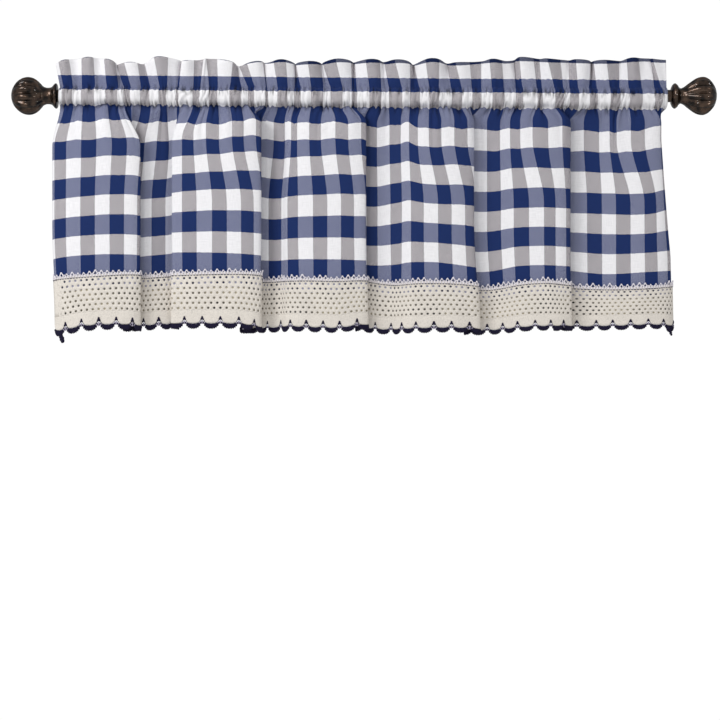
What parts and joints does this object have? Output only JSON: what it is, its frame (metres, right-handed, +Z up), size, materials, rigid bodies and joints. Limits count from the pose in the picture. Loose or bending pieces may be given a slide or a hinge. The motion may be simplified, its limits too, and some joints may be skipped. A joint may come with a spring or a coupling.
{
  "type": "window valance on a curtain rod",
  "caption": "Gathered gingham window valance with a ruffled heading, a rod pocket and a scalloped crochet trim, hung on a round curtain rod with ball finials.",
  "frame": {"origin": "on the axis of the curtain rod, at the middle of the picture's frame of the rod's length", "axes": "+X along the rod to the viewer's right, +Z up, the face of the cloth looks along -Y"},
  "size_m": [0.9116, 0.0468, 0.365],
  "materials": {
    "gingham_cotton": "woven cotton gingham, matte",
    "cream_crochet_cotton": "crochet cotton, matte",
    "navy_crochet_cotton": "crochet cotton, matte",
    "dark_bronze_metal": "glossy dark bronze"
  },
  "bodies": {
    "root": {"valance_panel": "gingham_cotton", "lace_trim": "cream_crochet_cotton", "edging_cord": "navy_crochet_cotton", "rod": "dark_bronze_metal", "finial_left": "dark_bronze_metal", "finial_right": "dark_bronze_metal"}
  },
  "joints": []
}
